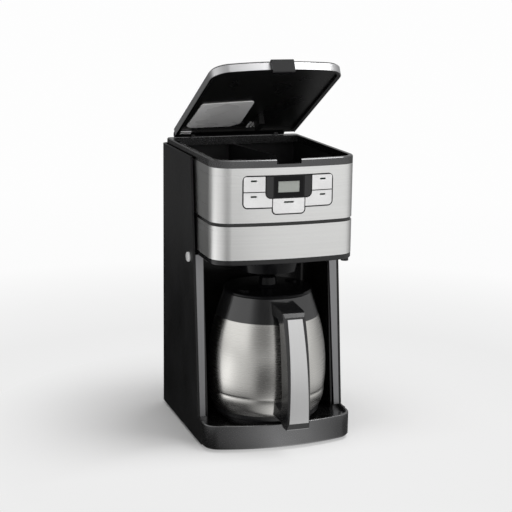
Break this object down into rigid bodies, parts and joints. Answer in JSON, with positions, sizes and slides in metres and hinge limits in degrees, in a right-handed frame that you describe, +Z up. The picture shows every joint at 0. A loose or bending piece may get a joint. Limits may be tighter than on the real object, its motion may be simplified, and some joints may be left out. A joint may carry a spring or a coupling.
{
  "type": "drip coffee maker",
  "caption": "Drip coffee maker with built-in grinder: steel-banded head with keys and lid over a bay holding a steel carafe, on a tray base.",
  "frame": {"origin": "on the table under the middle of the bounding box", "axes": "+Z up, -Y to the front, +X to the right as seen from the front; the lid stands open"},
  "size_m": [0.213, 0.3113, 0.5237],
  "materials": {
    "black_satin": "fine satin moulding",
    "black_gloss": "high gloss",
    "inner_black": "dark matt inner moulding",
    "base_gloss": "gloss dark grey",
    "steel_skin": "horizontal brushed",
    "carafe_steel": "brushed round the body",
    "pillar_satin": "satin grey strip",
    "rim_gloss": "gloss black rim",
    "lid_band_grey": "gunmetal gloss",
    "key_silver": "silver",
    "lcd_grey": "grey display glass",
    "collar_grey": "satin dark grey",
    "insert_steel": "fine brushed",
    "plate_grey": "plain light grey",
    "rubber_black": "matt",
    "hose_clear": "milky silicone",
    "zinc": "plated",
    "cast_aluminium": "as cast",
    "motor_steel": "plain",
    "board_green": "circuit board"
  },
  "bodies": {
    "housing": {"base": "base_gloss", "base_cover": "black_satin", "feet": "rubber_black", "rest_plate": "inner_black", "heater": "cast_aluminium", "left_side_panel": "black_satin", "right_side_panel": "black_satin", "left_pillar_trim": "pillar_satin", "right_pillar_trim": "pillar_satin", "back_panel": "black_satin", "housing_screws": "zinc", "cord_gland": "rubber_black", "cavity_wall": "black_gloss", "lower_housing": "inner_black", "right_band": "steel_skin", "deck": "inner_black", "door_hinge_pin": "zinc", "spray_head": "inner_black", "upper_housing": "inner_black", "upper_band": "steel_skin", "control_bezel": "black_gloss", "display_window": "black_gloss", "lcd": "lcd_grey", "control_board": "board_green", "top_rim": "rim_gloss", "reservoir": "inner_black", "grinder_chamber": "inner_black", "grounds_chute": "inner_black", "grinder_motor": "motor_steel", "check_valve": "hose_clear", "water_hoses": "hose_clear"},
    "basket_door": {"door_band": "steel_skin", "door_frame": "black_satin", "filter_holder": "inner_black", "filter_basket": "inner_black", "valve_spring": "zinc"},
    "drip_valve": {"drip_valve": "inner_black"},
    "release_button": {"release_button": "key_silver"},
    "lid": {"lid_shell": "black_gloss", "lid_band": "lid_band_grey", "lid_liner": "inner_black", "lid_plate": "plate_grey", "lid_hinge_pins": "zinc"},
    "lid_latch": {"lid_latch": "black_gloss"},
    "carafe": {"carafe_body": "carafe_steel", "carafe_liner": "carafe_steel", "carafe_base": "black_satin", "carafe_collar": "collar_grey", "carafe_handle": "black_satin", "handle_insert": "insert_steel"},
    "carafe_lid": {"carafe_lid": "black_gloss", "lid_seal": "rubber_black"},
    "grinder_blade": {"grinder_blade": "zinc"},
    "top_left_key": {"top_left_key": "key_silver"},
    "top_right_key": {"top_right_key": "key_silver"},
    "low_left_key": {"low_left_key": "key_silver"},
    "low_right_key": {"low_right_key": "key_silver"},
    "brew_key": {"brew_key": "key_silver"},
    "left_set_key": {"left_set_key": "black_gloss"},
    "right_set_key": {"right_set_key": "black_gloss"}
  },
  "joints": [
    {"name": "lid_hinge", "type": "hinge", "parent": "housing", "child": "lid", "pos_m": [0, 0.141, 0.402], "axis": [-1, 0, 0], "range_deg": [-28.4, 46]},
    {"name": "lid_latch_press", "type": "slide", "parent": "lid", "child": "lid_latch", "axis": [0, 0.8796, -0.4756], "range_m": [0, 0.0015], "stiffness_N_per_m": 500},
    {"name": "basket_door_hinge", "type": "hinge", "parent": "housing", "child": "basket_door", "pos_m": [0.093, -0.069, 0.285], "axis": [0, 0, 1], "range_deg": [0, 95]},
    {"name": "drip_valve_lift", "type": "slide", "parent": "basket_door", "child": "drip_valve", "axis": [0, 0, 1], "range_m": [0, 0.003], "stiffness_N_per_m": 200, "springref_m": -0.001, "deforming": ["valve_spring"]},
    {"name": "release_press", "type": "slide", "parent": "housing", "child": "release_button", "axis": [1, 0, 0], "range_m": [0, 0.003], "stiffness_N_per_m": 500},
    {"name": "grinder_spin", "type": "hinge", "parent": "housing", "child": "grinder_blade", "pos_m": [0.05, 0.104, 0.324], "axis": [0, 0, 1], "continuous": true},
    {"name": "carafe_slide_out", "type": "slide", "parent": "housing", "child": "carafe", "axis": [0, -1, 0], "range_m": [0, 0.2]},
    {"name": "carafe_lid_twist", "type": "hinge", "parent": "carafe", "child": "carafe_lid", "pos_m": [0, -0.02, 0.2], "axis": [0, 0, 1], "range_deg": [0, 60]},
    {"name": "top_left_key_press", "type": "slide", "parent": "housing", "child": "top_left_key", "axis": [0, 1, 0], "range_m": [0, 0.0012], "stiffness_N_per_m": 500},
    {"name": "top_right_key_press", "type": "slide", "parent": "housing", "child": "top_right_key", "axis": [0, 1, 0], "range_m": [0, 0.0012], "stiffness_N_per_m": 500},
    {"name": "low_left_key_press", "type": "slide", "parent": "housing", "child": "low_left_key", "axis": [0, 1, 0], "range_m": [0, 0.0012], "stiffness_N_per_m": 500},
    {"name": "low_right_key_press", "type": "slide", "parent": "housing", "child": "low_right_key", "axis": [0, 1, 0], "range_m": [0, 0.0012], "stiffness_N_per_m": 500},
    {"name": "brew_key_press", "type": "slide", "parent": "housing", "child": "brew_key", "axis": [0, 1, 0], "range_m": [0, 0.0012], "stiffness_N_per_m": 500},
    {"name": "left_set_key_press", "type": "slide", "parent": "housing", "child": "left_set_key", "axis": [0, 1, 0], "range_m": [0, 0.0012], "stiffness_N_per_m": 500},
    {"name": "right_set_key_press", "type": "slide", "parent": "housing", "child": "right_set_key", "axis": [0, 1, 0], "range_m": [0, 0.0012], "stiffness_N_per_m": 500}
  ]
}
